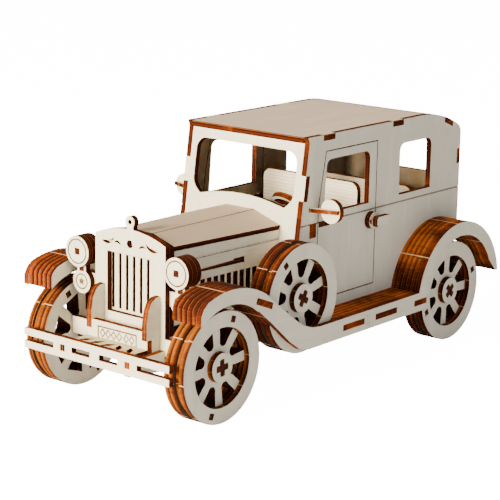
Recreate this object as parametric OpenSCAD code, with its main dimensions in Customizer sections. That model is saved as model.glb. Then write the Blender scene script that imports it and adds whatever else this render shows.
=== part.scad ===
// Vintage limousine, a press-fit model cut from plywood sheet.
// X is across the car (the car's left side is +X), -Y is the front, Z is up.
// The front axle stands over y = 0 and the wheels stand on z = 0.

/* [Plywood] */
// Thickness of the plywood sheet
ply = 3; // [2:0.1:4]
// Thickness of the thin sheet that skins the hood
hood_skin = 2; // [1:0.1:3]
// Play of a glued tab in its slot
slot_gap = 0.05; // [0.02:0.01:0.2]
// Radial play of a turning shaft in its hole
shaft_gap = 0.05; // [0.02:0.01:0.1]
// Depth of an engraved line
engrave = 0.4; // [0.2:0.1:0.8]
// Width of an engraved line
engrave_w = 0.6; // [0.4:0.1:1.2]

/* [Wheels] */
// Outer radius of a wheel
wheel_r = 27; // [24:0.5:28]
// Width of the flat rim ring
rim_w = 7.7; // [5:0.1:9]
// How far the spoke disc sits back inside the tread
tread_groove = 1.5; // [0.5:0.1:3]
// Radius of the hub disc
hub_r = 7.25; // [6:0.05:9]
// Width of one spoke
spoke_w = 4.4; // [3:0.1:6]
// Number of spokes
spokes = 8; // [6:1:10]
// Span of the cross axle
axle_span = 8.2; // [7.6:0.1:9]
// Distance from the front axle to the rear axle
wheelbase = 190; // [180:1:215]
// Outer face of the wheels from the middle of the car
track_half = 50.8; // [50.6:0.1:51]
// Turn of the front wheels about their axle
front_wheel_turn = 4; // [-90:1:90]
// Turn of the rear wheels about their axle
rear_wheel_turn = -47.5; // [-90:0.5:90]

/* [Chassis] */
// Inner face of a chassis rail from the middle
rail_x = 16.4; // [14:0.1:17]
// Bottom of the chassis rails
rail_bottom = 20; // [18:0.5:22]
// Underside of the floor
floor_z = 27.8; // [27:0.1:29]
// Radius of the rail around an axle
rail_boss_r = 9; // [7:0.5:10]

/* [Body] */
// Outer face of the side panels from the middle
side_half = 39; // [39:0.1:42]
// Top of the roof
roof_z = 123.4; // [118:0.2:134]
// Height where the roof sheet starts, measured along Y
roof_front = 76.2; // [75:0.1:77.4]
// Place along Y where the roof starts to curve down
roof_bend = 175; // [170:1:180]
// Radius of the long curve at the back of the roof
roof_curve_r = 72; // [60:1:90]
// Radius of the corner between roof and back panel
roof_corner_r = 6; // [4:0.5:9]
// Outer face of the back panel
back_y = 212.4; // [212:0.2:214]
// Lean of the windshield from upright
windshield_lean = 8.1; // [6:0.1:9]
// Front face of the windshield at the roof
windshield_y = 77.4; // [77:0.1:78]
// Height of the belt line
belt_z = 79.8; // [77:0.2:81]

/* [Doors] */
// Front edge of a door opening below the belt line
door_front = 85.2; // [84.6:0.1:88]
// Rear edge of a door opening
door_rear = 134.6; // [130:0.2:140]
// Top edge of a door opening
door_top = 115.2; // [113:0.2:116.5]
// Bottom edge of a door opening
door_sill = 39.8; // [37:0.2:44]
// Gap around a door
door_gap = 0.5; // [0.4:0.05:0.8]
// Distance of the hinge line behind the front edge of the door
hinge_back = 7.3; // [6.8:0.1:9]
// Radius of a hinge pin
hinge_pin_r = 1; // [0.8:0.05:1.1]

/* [Fenders] */
// Number of plies that fill a fender behind its outer plate
fender_plies = 5; // [4:1:5]
// Radius of the outer edge of the rear fender
rear_fender_r = 39; // [37:0.5:42]
// Radius of a wheel arch
arch_r = 31.5; // [30:0.5:33]
// Top of the running board
board_top = 34.3; // [33:0.1:36]
// Bottom of the running board
board_bottom = 24.4; // [23:0.1:26]
// Place of the joint between front and rear outer plates
board_joint = 107; // [105:0.5:110]

/* [Spare wheel] */
// Centre of the spare wheel along Y
spare_y = 57.1; // [56:0.1:58]
// Centre of the spare wheel above the ground
spare_z = 49.3; // [48:0.1:51]
// Thickness of the washer behind the spare wheel
spare_washer = 2; // [1.5:0.1:2.5]
// Gap between the spare wheel and its well
spare_gap = 0.6; // [0.3:0.1:1.5]
// Turn of the spare wheel about its hub
spare_turn = 59.5; // [0:0.5:90]

/* [Hood] */
// Front end of the hood
hood_front = -2.3; // [-2.3:0.1:0]
// Half width of the flat top panel
hood_top_half = 8.8; // [8:0.1:12]
// Height of the flat top panel
hood_z = 84.4; // [82:0.1:86]
// Half width of the hood at the grille
hood_front_half = 22.6; // [22.5:0.1:24]
// Half width of the hood at the windshield
hood_rear_half = 26.4; // [25:0.1:29]
// Fall of a sloping panel over its width, as a ratio
hood_slope = 0.31; // [0.2:0.01:0.4]
// Gap at a crease of the hood
crease_gap = 0.35; // [0.1:0.05:0.6]
// Number of louvres in each hood side
louvres = 10; // [6:1:11]
// Distance from one louvre to the next
louvre_pitch = 4.55; // [4:0.05:4.8]

/* [Front end] */
// Front face of the grille plate
grille_y = -8.3; // [-8.5:0.1:-8]
// Half width of the grille plate
grille_half = 22.5; // [21:0.1:23.5]
// Height of the shoulders of the grille plate
grille_shoulder = 81; // [79:0.1:83]
// Number of slots in the grille
grille_slots = 7; // [5:1:9]
// Distance from one grille slot to the next
grille_pitch = 4.5; // [3.5:0.1:4.6]
// Front face of the bumper
bumper_y = -32.3; // [-36:0.1:-31]
// Half length of the bumper
bumper_half = 46.8; // [42:0.2:52]
// Front face of the number plate
number_y = -17; // [-18:0.1:-16.5]
// Half width of the number plate
number_half = 19.35; // [18:0.05:19.35]
// Distance of a headlight from the middle
lamp_x = 31.8; // [31:0.1:32.5]
// Height of a headlight
lamp_z = 70.5; // [69:0.1:73]
// Radius of a headlight disc
lamp_r = 7.6; // [6.5:0.1:8]

/* [Hidden] */

round_n = 96;
small_n = 48;

axle_z = wheel_r;
wheel_w = 4 * ply;
spoke_disc_r = wheel_r - tread_groove;
rim_hole_r = wheel_r - rim_w;
rim_mid_r = wheel_r - rim_w / 2;
axle_tip_r = axle_span / 2;
pin_turn = 67.5;
wheel_pin = ply;
collar_r = 5;

floor_top = floor_z + ply;
floor_front = 35;
floor_rear = wheelbase - rail_boss_r - 2;
floor_tabs = [[84.9, 102.7], [112.4, 131], [147, 158]];
rail_front = bumper_y + ply;
rail_rear = back_y - ply;
crossmembers = [42, 108, 160, rail_rear - ply];

side_inner = side_half - ply;
roof_under = roof_z - ply;
fender_half = side_half + (fender_plies + 1) * ply;
fender_inner = side_half + fender_plies * ply;
windshield_len = (roof_under - floor_top) / cos(windshield_lean) - ply * tan(windshield_lean);
windshield_tab = [16, 28.5];
roof_tabs = [[88.6, 98], [147.7, 157.2], [196, 204]];
back_tab = [93, 101];
dash_y = 79;
dash_t = 5.2;
dash_tab_z = [72.8, 77.3];
shelf_t = 2.7;
column_tilt = 45;
steering_x = 14;
steering_y = 93;
steering_z = 84;
steering_r = 9;
column_r = 1.5;

hinge_x = side_half - ply / 2;
hinge_y = door_front + hinge_back;
hinge_pin_len = 3.6;
hinge_tab = [door_front + 1, door_front + 10];
handle_y = 129.6;
handle_z = 74.3;
handle_disc_r = 4.5;
handle_shaft_r = 1.6;
handle_reach = 1.2;
mirror_z = 87.3;
mirror_y = 79;
mirror_turn = 17;
mirror_reach = 14.6;
mirror_bar = 2;
mirror_r = 6;

front_arch_y = -2.4;
front_crown_r = 48;
front_crown_z = 65.6;
well_r = wheel_r + spare_gap;
spare_face = side_half + spare_washer + wheel_w;
tie_y = 22.6;
tie_z = 54.4;
tie_w = 12.6;
tie_turn = -22;

hood_taper = atan((hood_rear_half - hood_front_half) / 74);
hood_side_bottom = 42;
hood_line_z = 72.3;
hood_inner_half = hood_front_half - ply;
grille_back = grille_y + ply;
bars_back = grille_back + ply;
number_back = number_y + ply;
number_step = 37;
iron_x = rail_x + ply;
bumper_tab_z = 29.2;
lamp_neck_z = 61.8;
lamp_foot_z = 55.1;
lamp_foot_r = 5.9;
veneer = [0.86, 0.83, 0.76];
veneer_dark = [0.74, 0.66, 0.54];
burnt = [0.35, 0.16, 0.07];

// --- Placing flat pieces ---------------------------------------------------

// A sheet across the car: drawn in X and Z, from y0 backwards by its thickness.
module across(y0, t = ply) {
  translate([0, y0 + t, 0]) rotate([90, 0, 0]) linear_extrude(t) children();
}

// A sheet along the car: drawn in Y and Z, from x0 outwards by its thickness.
module along(x0, t = ply) {
  translate([x0, 0, 0]) rotate([90, 0, 90]) linear_extrude(t) children();
}

// A level sheet: drawn in X and Y, from z0 upwards by its thickness.
module level(z0, t = ply) {
  translate([0, 0, z0]) linear_extrude(t) children();
}

module mirrored() {
  mirror([1, 0, 0]) children();
}

module both_sides() {
  children();
  mirrored() children();
}

// A rectangle from its lower corner to its upper corner.
module box2(a, b) {
  translate(a) square([b[0] - a[0], b[1] - a[1]]);
}

// A sheet that stands in the plane of the windshield, drawn in X and distance below the roof.
module in_windshield() {
  translate([0, windshield_y, roof_under]) rotate([-windshield_lean, 0, 0]) across(0)
    mirror([0, 1, 0]) children();
}

function arc(c, r, a0, a1, n) = [for (i = [0 : n]) let (a = a0 + (a1 - a0) * i / n)
  [c[0] + r * cos(a), c[1] + r * sin(a)]];

function mirror_x(points) = [for (i = [len(points) - 1 : -1 : 0]) [-points[i][0], points[i][1]]];

function windshield_at(z) = windshield_y - (roof_under - z) * tan(windshield_lean);

// --- Wheels ----------------------------------------------------------------

module cross2(gap = 0) {
  intersection() {
    union() {
      square([ply + 2 * gap, axle_span + 2 * gap + 1], center = true);
      square([axle_span + 2 * gap + 1, ply + 2 * gap], center = true);
    }
    circle(r = axle_tip_r + gap, $fn = small_n);
  }
}

module wheel_pin_holes() {
  for (a = [pin_turn, pin_turn + 180])
    rotate(a) translate([rim_mid_r, 0]) square(wheel_pin + 2 * slot_gap, center = true);
}

module rim2() {
  difference() {
    circle(r = wheel_r, $fn = round_n);
    circle(r = rim_hole_r, $fn = round_n);
    wheel_pin_holes();
  }
}

// One gap between two spokes: round at the hub, wide at the rim.
module spoke_window2() {
  inner = hub_r + 5;
  inner_half = inner * sin(180 / spokes) - spoke_w / 2;
  outer = rim_hole_r + 0.6;
  outer_half = outer * sin(180 / spokes) - spoke_w / 2;
  translate([inner, 0]) circle(r = inner_half, $fn = small_n);
  polygon([[inner, -inner_half], [outer, -outer_half], [outer, outer_half], [inner, inner_half]]);
}

module spoke_disc2(r) {
  difference() {
    circle(r = r, $fn = round_n);
    for (i = [0 : spokes - 1])
      rotate((i + 0.5) * 360 / spokes) spoke_window2();
    cross2(slot_gap);
    wheel_pin_holes();
  }
}

module hub2() {
  difference() {
    circle(r = hub_r, $fn = round_n);
    cross2(slot_gap);
  }
}

// Four layers of one wheel about the X axis, its outer face at x = 0.
module wheel_layers() {
  color(veneer) {
    along(-ply) rim2();
    along(-ply) hub2();
    along(-2 * ply) spoke_disc2(spoke_disc_r);
    along(-4 * ply, 2 * ply) spoke_disc2(wheel_r);
  }
}

module wheel_pins() {
  color(burnt)
    for (a = [pin_turn, pin_turn + 180])
      rotate([a, 0, 0]) translate([-wheel_w, rim_mid_r - wheel_pin / 2, -wheel_pin / 2])
        cube([wheel_w, wheel_pin, wheel_pin]);
}

// The same wheel on both ends of an axle, the far one turned end for end.
module on_axle(y, turn) {
  translate([0, y, axle_z]) rotate([turn, 0, 0]) {
    translate([track_half, 0, 0]) children();
    rotate([0, 0, 180]) translate([track_half, 0, 0]) children();
  }
}

// One of the two interlocking strips of a cross axle; its slot runs from the middle to +X.
module axle_strip() {
  intersection() {
    difference() {
      translate([-track_half, -ply / 2, -axle_span / 2]) cube([2 * track_half, ply, axle_span]);
      translate([-slot_gap, -ply, -ply / 2 - slot_gap]) cube([track_half + 1, 2 * ply, ply + 2 * slot_gap]);
    }
    rotate([0, 90, 0]) cylinder(h = 2 * track_half, r = axle_tip_r, center = true, $fn = round_n);
  }
}

module axle(y, turn) {
  color(burnt) translate([0, y, axle_z]) rotate([turn, 0, 0]) {
    axle_strip();
    rotate([90, 0, 0]) rotate([0, 0, 180]) axle_strip();
  }
  color(veneer) translate([0, y, axle_z]) rotate([turn, 0, 0]) both_sides()
    along(rail_x + ply + 0.2) difference() {
      circle(r = collar_r, $fn = small_n);
      cross2(slot_gap);
    }
}

module front_axle() { axle(0, front_wheel_turn); }
module rear_axle() { axle(wheelbase, rear_wheel_turn); }
module front_wheels() { on_axle(0, front_wheel_turn) wheel_layers(); }
module rear_wheels() { on_axle(wheelbase, rear_wheel_turn) wheel_layers(); }
module front_wheel_pins() { on_axle(0, front_wheel_turn) wheel_pins(); }
module rear_wheel_pins() { on_axle(wheelbase, rear_wheel_turn) wheel_pins(); }

// --- Spare wheel -----------------------------------------------------------

module spare_place() {
  translate([spare_face, spare_y, spare_z]) rotate([spare_turn, 0, 0]) children();
}

module spare_wheel() {
  spare_place() wheel_layers();
  color(veneer) spare_place() along(-wheel_w - spare_washer, spare_washer) hub2();
}

module spare_wheel_pins() { spare_place() wheel_pins(); }

// The cross-shaped peg that carries the spare wheel on the side panel.
module spare_spindle() {
  peg = wheel_w + spare_washer + ply;
  color(burnt) spare_place() along(-peg, peg) cross2();
}

// --- Chassis ---------------------------------------------------------------

module floor_plate() {
  color(veneer) level(floor_z) union() {
    box2([-side_half, floor_front], [side_half, wheelbase - arch_r]);
    box2([-side_inner, floor_front], [side_inner, floor_rear]);
    for (t = floor_tabs)
      box2([-fender_half, t[0]], [fender_half, t[1]]);
  }
}

module rail2() {
  fin = [[number_back, number_step], [number_y - 0.6, number_step], [number_y - 0.5, 45], [number_y + 0.7, 51.4],
    [number_y + 2.8, 55.1], [number_y + 5.4, 56.7], [grille_y, 57]];
  difference() {
    union() {
      polygon(concat([[rail_front, rail_bottom + 2.5], [rail_front, floor_z + 2], [number_back, floor_z + 2]],
        fin, [[grille_y, floor_z], [rail_rear, floor_z], [rail_rear, rail_bottom], [-4, rail_bottom]]));
      for (y = [0, wheelbase])
        translate([y, axle_z]) circle(r = rail_boss_r, $fn = round_n);
    }
    box2([grille_y, floor_z], [bars_back, hood_z]);
    for (y = [0, wheelbase])
      translate([y, axle_z]) circle(r = axle_tip_r + shaft_gap, $fn = small_n);
    for (y = crossmembers)
      box2([y - slot_gap, floor_z - 3 - slot_gap], [y + ply + slot_gap, floor_z + 1]);
  }
}

module chassis_rails() {
  color(veneer) both_sides() along(rail_x) rail2();
}

// Upright sheets that lock the two rails together from above.
module chassis_crossmembers() {
  color(veneer) for (y = crossmembers)
    across(y) difference() {
      box2([-rail_x - 2 * ply, rail_bottom + 1], [rail_x + 2 * ply, floor_z]);
      for (s = [-1, 1])
        box2([s * (rail_x + ply / 2) - ply / 2 - slot_gap, rail_bottom],
          [s * (rail_x + ply / 2) + ply / 2 + slot_gap, floor_z - 3]);
    }
}

// Second ply outside each rail, with the tab that shows in the bumper.
module bumper_irons() {
  color(veneer) both_sides() along(iron_x) union() {
    box2([rail_front, 25], [grille_y, 31]);
    box2([bumper_y, bumper_tab_z - ply / 2], [rail_front + 1, bumper_tab_z + ply / 2]);
  }
}

// --- Front end -------------------------------------------------------------

module front_bumper() {
  iron_mid = iron_x + ply / 2;
  color(veneer) across(bumper_y) difference() {
    box2([-bumper_half, 24.3], [bumper_half, 34.3]);
    for (s = [-1, 1]) {
      box2([min(s * 3.1, s * 14.8), 27.9], [max(s * 3.1, s * 14.8), 30.65]);
      box2([min(s * 27, s * (bumper_half + 1)), 27.9], [max(s * 27, s * (bumper_half + 1)), 30.65]);
      translate([s * iron_mid, bumper_tab_z]) square(ply + 2 * slot_gap, center = true);
    }
  }
}

// Level shelf behind the bumper with a scalloped front edge.
module bumper_apron() {
  depth = number_y - rail_front;
  color(veneer) level(floor_z + 2) difference() {
    box2([-iron_x, rail_front], [iron_x, number_y]);
    for (x = [-14 : 7 : 14])
      translate([x, rail_front + depth * 0.5]) rotate(x > 0 ? 35 : -35) lozenge2(3.4, depth * 0.72);
    for (x = [-17.5 : 7 : 17.5])
      translate([x, rail_front]) lozenge2(4.4, depth * 0.5);
  }
}

module lozenge2(w, h) {
  polygon([[-w / 2, 0], [0, h / 2], [w / 2, 0], [0, -h / 2]]);
}

module number_plate() {
  low = 29.9;
  high = 41.2;
  mid = 35.5;
  color(veneer) difference() {
    across(number_y) union() {
      box2([-number_half, low], [number_half, number_step]);
      box2([-rail_x, low], [rail_x, high]);
    }
    across(number_y - 1, 1 + engrave) difference() {
      box2([-12.6, 32.3], [12.6, 38.7]);
      box2([-12, 32.9], [12, 38.1]);
    }
    across(number_y - 1, 1 + engrave) for (x = [-9.4, -5.8, -2.2, 1.4, 5.9, 9.5])
      translate([x, mid]) difference() {
        lozenge2(3.5, 4.6);
        lozenge2(2.5, 3.3);
      }
  }
}

// A crescent between two arcs that share their ends, w to each side and deep or shallow below.
module crescent2(w, deep, shallow) {
  outer_r = (w * w + deep * deep) / (2 * deep);
  inner_r = (w * w + shallow * shallow) / (2 * shallow);
  difference() {
    translate([0, outer_r - deep]) circle(r = outer_r, $fn = small_n);
    translate([0, inner_r - shallow]) circle(r = inner_r, $fn = round_n);
  }
}

module grille_frame() {
  crown = arc([0, grille_shoulder + 4.8 - 55], 55, 66.5, 113.5, 16);
  color(veneer) across(grille_y) difference() {
    union() {
      polygon(concat([[-grille_half, floor_z], [grille_half, floor_z], [grille_half, grille_shoulder]],
        crown, [[-grille_half, grille_shoulder]]));
      box2([-2.1, grille_shoulder + 3.5], [2.1, grille_shoulder + 7]);
      translate([0, grille_shoulder + 8.3]) circle(r = 2.9, $fn = small_n);
    }
    translate([0, grille_shoulder + 8.3]) circle(r = 1.1, $fn = small_n);
    box2([-14.6, 44], [14.6, 73.3]);
    translate([0, 78.7]) circle(r = 1.9, $fn = small_n);
    for (s = [-1, 1]) {
      translate([s * 14.2, 79.4]) rotate(-s * 14) crescent2(4.3, 2.5, 0.9);
      translate([s * 8, 77.6]) rotate(180 + s * 12) crescent2(2.2, 1.5, 0.5);
    }
  }
}

// Slotted sheet behind the grille, with an arm to each headlight bracket.
module grille_bars() {
  arm_half = track_half - wheel_w - 2.3;
  bars_bottom = axle_z + axle_tip_r + 6.4;
  color(veneer) across(grille_back) difference() {
    union() {
      box2([-grille_half, bars_bottom], [grille_half, grille_shoulder - 1]);
      box2([-arm_half, 52], [arm_half, 59.5]);
    }
    for (i = [0 : grille_slots - 1])
      translate([(i - (grille_slots - 1) / 2) * grille_pitch, 58.7])
        square([1.6, 27], center = true);
  }
}

// Low plates that close the front between the grille and the wheels.
module front_wing_plates() {
  color(veneer) both_sides() across(grille_y) box2([grille_half, floor_z + 0.5], [track_half - wheel_w - 0.6, 36.8]);
}

module square_hole(at) {
  translate(at) square(ply + 2 * slot_gap, center = true);
}

// Disc, neck and foot of one headlight bracket, cut in one piece.
module lamp_brackets() {
  color(veneer) both_sides() difference() {
    across(grille_y) difference() {
      union() {
        translate([lamp_x, lamp_z]) circle(r = lamp_r, $fn = round_n);
        box2([lamp_x - 2.9, lamp_foot_z], [lamp_x + 2.9, lamp_z]);
        translate([lamp_x, lamp_foot_z]) circle(r = lamp_foot_r, $fn = round_n);
      }
      square_hole([lamp_x, lamp_z]);
      square_hole([lamp_x, lamp_neck_z]);
    }
    across(grille_y - 1, 1 + engrave) translate([lamp_x, lamp_foot_z]) difference() {
      circle(r = 3.9, $fn = small_n);
      circle(r = 3.3, $fn = small_n);
    }
    across(grille_y - 1, 1 + engrave) translate([lamp_x, lamp_foot_z]) circle(r = 1.2, $fn = small_n);
  }
}

module headlight() {
  front = grille_y - ply;
  color(veneer) across(grille_back) difference() {
    translate([lamp_x, lamp_z]) circle(r = lamp_r, $fn = round_n);
    square_hole([lamp_x, lamp_z]);
  }
  color(veneer) difference() {
    across(front) difference() {
      translate([lamp_x, lamp_z]) circle(r = lamp_r, $fn = round_n);
      square_hole([lamp_x, lamp_z]);
    }
    across(front - 1, 1 + engrave) translate([lamp_x, lamp_z]) difference() {
      circle(r = lamp_r - 1.4, $fn = small_n);
      circle(r = lamp_r - 1.4 - engrave_w, $fn = small_n);
    }
  }
}

module headlight_left() { headlight(); }
module headlight_right() { mirrored() headlight(); }

module lamp_pins() {
  color(burnt) both_sides() {
    across(grille_y - ply, 3 * ply) translate([lamp_x, lamp_z]) square(ply, center = true);
    across(grille_y) translate([lamp_x, lamp_neck_z]) square(ply, center = true);
  }
}

// --- Hood ------------------------------------------------------------------

// Everything behind the front face of the windshield.
module behind_windshield() {
  translate([0, windshield_y, roof_under]) rotate([-windshield_lean, 0, 0])
    translate([-100, 0, -150]) cube([200, 50, 200]);
}

module hood_top() {
  color(veneer) difference() {
    level(hood_z - hood_skin, hood_skin) box2([-hood_top_half, hood_front], [hood_top_half, 100]);
    behind_windshield();
  }
}

// A sloping panel, drawn flat from the crease outwards and then tilted.
module hood_slope_panel() {
  tilt = atan(hood_slope);
  front_w = (hood_front_half - hood_top_half) / cos(tilt);
  rear_w = (hood_rear_half - hood_top_half) / cos(tilt);
  grow = (rear_w - front_w) / 74;
  color(veneer) difference() {
    translate([hood_top_half, hood_front, hood_z]) rotate([0, tilt, 0]) translate([0, 0, -hood_skin])
      linear_extrude(hood_skin) polygon([[-2, 0], [front_w, 0], [front_w + grow * 100, 100], [-2, 100]]);
    translate([-50 + hood_top_half + crease_gap, -50, 0]) cube([50, 200, 200]);
    behind_windshield();
  }
}

module hood_slope_left() { hood_slope_panel(); }
module hood_slope_right() { mirrored() hood_slope_panel(); }

function hood_edge_z(half) = hood_z - (half - hood_top_half) * hood_slope - hood_skin / cos(atan(hood_slope));

// The long slot of a hood side: thin at the front, thick and stepped at the back.
module spear2(gap = 0) {
  polygon([[15.8 + gap, 65.2 + gap], [48 - gap, 64.8 + gap], [48 - gap, 67.6 - gap],
    [41 + gap, 67.6 - gap], [40 + gap, 66.9 - gap], [15.8 + gap, 66.3 - gap]]);
}

// A hood side, drawn from the grille backwards and then turned by the taper.
module hood_side() {
  color(veneer) difference() {
    translate([hood_front_half, hood_front, 0]) rotate([0, 0, -hood_taper]) translate([-ply, 0, 0])
      difference() {
        along(0) difference() {
          polygon([[0, hood_side_bottom], [100, hood_side_bottom],
            [100, hood_edge_z(hood_front_half + 100 * tan(hood_taper)) - 0.05],
            [0, hood_edge_z(hood_front_half) - 0.05]]);
          for (i = [0 : louvres - 1])
            box2([17.6 + i * louvre_pitch, 46], [20.6 + i * louvre_pitch, 61.2]);
          spear2();
        }
        along(ply - engrave, 1) box2([-1, hood_line_z - engrave_w / 2], [101, hood_line_z + engrave_w / 2]);
      }
    behind_windshield();
  }
}

module hood_side_left() { hood_side(); }
module hood_side_right() { mirrored() hood_side(); }

// Dark strips that show through the long slot of each hood side.
module hood_spears() {
  color(burnt) both_sides() translate([hood_front_half, hood_front, 0]) rotate([0, 0, -hood_taper])
    along(-ply, ply - 0.6) spear2(0.05);
}

// Upright sheets inside the hood that hold its panels.
module hood_formers() {
  for (y = [12, 48]) {
    foot = y > floor_front ? floor_top : floor_z;
    half = hood_inner_half + (y - hood_front) * tan(hood_taper) - 0.1;
    side_z = hood_z - (half - hood_top_half) * hood_slope - hood_skin / cos(atan(hood_slope));
    color(veneer) across(y) polygon([[-half, foot], [half, foot], [half, side_z - 0.1],
      [hood_top_half, hood_z - hood_skin - 0.15], [-hood_top_half, hood_z - hood_skin - 0.15],
      [-half, side_z - 0.1]]);
  }
}

// --- Windshield and dashboard ----------------------------------------------

module windshield_frame() {
  corner = arc([26.5, 11], 6, -90, 0, 6);
  lower = [[32.5, 26], [31.7, 28.7], [29.8, 31.2], [27.4, 33.2]];
  sill = [for (x = [18 : -6 : 0]) [x, 29.8 + x * x / 216]];
  half = concat(corner, lower, sill);
  color(veneer) in_windshield() difference() {
    union() {
      box2([-side_inner, 0], [side_inner, windshield_len]);
      box2([-side_half, windshield_tab[0]], [side_half, windshield_tab[1]]);
    }
    polygon(concat(half, mirror_x(half)));
  }
}

module dashboard() {
  rear = dash_y + dash_t;
  color(veneer) {
    difference() {
      across(dash_y, dash_t) union() {
        box2([-side_inner, 62], [side_inner, dash_tab_z[1]]);
        box2([-side_half, dash_tab_z[0]], [side_half, dash_tab_z[1]]);
      }
      for (x = [-16, -4, 5])
        translate([x, rear - engrave, 69]) rotate([-90, 0, 0]) difference() {
          cylinder(h = 1, r = 3.4, $fn = small_n);
          cylinder(h = 1, r = 2.8, $fn = small_n);
        }
      column_shape(column_r + slot_gap);
    }
    level(dash_tab_z[1], shelf_t) union() {
      box2([-side_inner, windshield_at(dash_tab_z[1]) + ply + 1], [side_inner, rear]);
      box2([-side_half, dash_y], [side_half, rear]);
    }
    translate([-1, dash_y + 1, dash_tab_z[1] + shelf_t]) across(0, ply) translate([0, 2.5])
      circle(r = 3.2, $fn = small_n);
  }
}

// Turns +Z to the direction of the steering column, at the steering wheel.
module at_column() {
  translate([steering_x, steering_y, steering_z]) rotate([column_tilt - 90, 0, 0]) children();
}

module column_shape(r) {
  at_column() translate([0, 0, -16]) cylinder(h = 16 - ply / 2 - 0.6, r = r, $fn = small_n);
}

module steering_column() {
  color(veneer_dark) {
    difference() {
      column_shape(column_r);
      translate([0, dash_y - 50 + 0.5, 0]) translate([-50, 0, 0]) cube([100, 50, 100]);
    }
    at_column() translate([0, 0, -ply / 2 - 0.7]) cylinder(h = ply + 1.2, r = 1, $fn = small_n);
    at_column() translate([0, 0, ply / 2 + 0.5]) cylinder(h = 1.2, r = 1.8, $fn = small_n);
  }
}

module steering_wheel() {
  color(veneer_dark) at_column() translate([0, 0, -ply / 2]) linear_extrude(ply) difference() {
    circle(r = steering_r, $fn = round_n);
    difference() {
      circle(r = steering_r - 1.9, $fn = small_n);
      circle(r = 2.6, $fn = small_n);
      for (a = [90, 210, 330])
        rotate(a) translate([0, -0.9]) square([steering_r, 1.8]);
    }
    circle(r = 1 + shaft_gap, $fn = small_n);
  }
}

// --- Seats -----------------------------------------------------------------

// Two legs, a cushion and a ribbed back that leans on them.
module seat(x0, x1, y0, depth, back_top) {
  cushion_z = 50;
  corner = 4.5;
  back_y0 = y0 + depth;
  color(veneer) {
    for (x = [x0 + 1, x1 - 1 - ply])
      along(x) box2([y0 + 3, floor_top], [back_y0, cushion_z]);
    level(cushion_z) box2([x0, y0], [x1, back_y0]);
    across(back_y0) polygon(concat([[x0, floor_top], [x1, floor_top]],
      arc([x1 - corner, back_top - corner], corner, 0, 90, 5),
      arc([x0 + corner, back_top - corner], corner, 90, 180, 5)));
  }
}

module front_seat_left() { seat(5, 31, 106, 23, 92.2); }
module front_seat_right() { mirrored() seat(5, 31, 106, 23, 92.2); }
module rear_seat() { seat(-33, 33, 151, 24, 84); }

// --- Side panels, roof and back --------------------------------------------

// Points of the roof line, from the front to the foot of the rear corner, lowered by d.
function roof_line(d) =
  let (turn = asin((back_y - roof_bend - roof_corner_r) / (roof_curve_r - roof_corner_r)),
    centre = [roof_bend, roof_z - roof_curve_r],
    corner = [roof_bend + (roof_curve_r - roof_corner_r) * sin(turn),
      roof_z - roof_curve_r + (roof_curve_r - roof_corner_r) * cos(turn)])
  concat([[roof_front, roof_z - d]], arc(centre, roof_curve_r - d, 90, 90 - turn, 10),
    arc(corner, roof_corner_r - d, 90 - turn - 15, 0, 4));

function reversed(points) = [for (i = [len(points) - 1 : -1 : 0]) points[i]];

module roof_sheet2() {
  polygon(concat(roof_line(0), reversed(roof_line(ply))));
}

// Tabs of the roof sheet that reach through the side panels.
module roof_edge2(gap = 0) {
  intersection() {
    roof_sheet2();
    for (t = roof_tabs)
      box2([t[0] - gap, 0], [t[1] + gap, 200]);
  }
}

module roof_panel() {
  color(veneer) {
    along(-side_inner, 2 * side_inner) roof_sheet2();
    along(side_inner - 0.5, ply + 0.5) roof_edge2();
    along(-side_half, ply + 0.5) roof_edge2();
  }
}

// Outline of a door opening, made smaller by g for the door itself.
function door_outline(g) = [[door_front + g, door_sill + g], [door_front + g, belt_z],
  [door_front + 0.6 + g, belt_z + 10], [door_front + 5.6 + g, door_top - g],
  [door_rear - g, door_top - g], [door_rear - g, door_sill + g]];

// A window with a level sill and rounded upper corners.
module window2(y0, y1, lean, z0, z1, r) {
  polygon(concat([[y1, z0]], arc([y1 - r, z1 - r], r, 0, 90, 5),
    arc([y0 + lean + r, z1 - r], r, 90, 180, 5), [[y0, z0]]));
}

module side_outline2() {
  front = [[windshield_at(floor_top), floor_top], [windshield_y, roof_under]];
  skirt = wheelbase - sqrt(arch_r * arch_r - (floor_top - axle_z) * (floor_top - axle_z));
  polygon(concat([[44, floor_top], [44, 58], [50, 63], [windshield_at(63), 63]], [front[1], [roof_front, roof_z]],
    [for (p = roof_line(0)) if (p[0] > roof_front) p],
    [[back_y, 50], [back_y, floor_top + 12], [wheelbase, floor_top + 12], [wheelbase, floor_top], [skirt, floor_top]]));
}

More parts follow.
